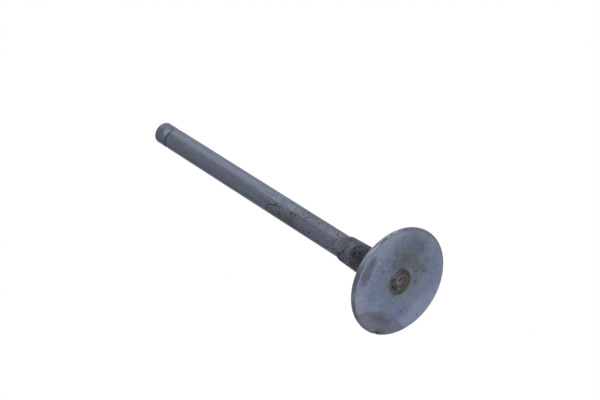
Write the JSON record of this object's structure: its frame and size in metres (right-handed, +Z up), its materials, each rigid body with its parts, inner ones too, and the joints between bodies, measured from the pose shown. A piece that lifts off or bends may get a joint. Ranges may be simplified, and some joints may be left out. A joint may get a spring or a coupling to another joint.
{
  "type": "engine valve",
  "caption": "Poppet valve in one piece: flat round head with a bevelled seat face, flared neck, long straight stem and a round keeper groove near the tip.",
  "frame": {"origin": "centre of the combustion face, which the valve stands on", "axes": "+Z up the stem from the combustion face to the tip; X and Y are free, because the valve is round"},
  "size_m": [0.0326, 0.0326, 0.1213],
  "materials": {
    "valve_steel": "used heat-resisting valve steel: dull blue-grey combustion face, satin ground stem, dark carbon crust on neck and back of head"
  },
  "bodies": {
    "root": {"valve": "valve_steel"}
  },
  "joints": []
}
